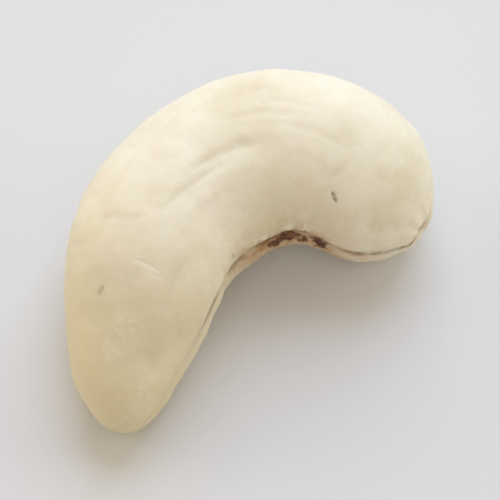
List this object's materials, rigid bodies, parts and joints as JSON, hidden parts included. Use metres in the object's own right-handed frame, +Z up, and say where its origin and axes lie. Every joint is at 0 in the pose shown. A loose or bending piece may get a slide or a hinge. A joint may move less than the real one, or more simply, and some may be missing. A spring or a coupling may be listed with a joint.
{
  "type": "cashew nut",
  "caption": "Whole skinned cashew kernel, curved like a kidney, with a seam round its edge, a root pit in the blunt end and a slender leg.",
  "frame": {"origin": "middle of the footprint, on the surface that the kernel rests on", "axes": "+X from the slender end to the blunt head, +Y from the hollow of the bend to the back of the crown, +Z up, across the two seed leaves"},
  "size_m": [0.028, 0.0164, 0.011],
  "materials": {
    "kernel_flesh": "satin"
  },
  "bodies": {
    "root": {"cashew_kernel": "kernel_flesh"}
  },
  "joints": []
}
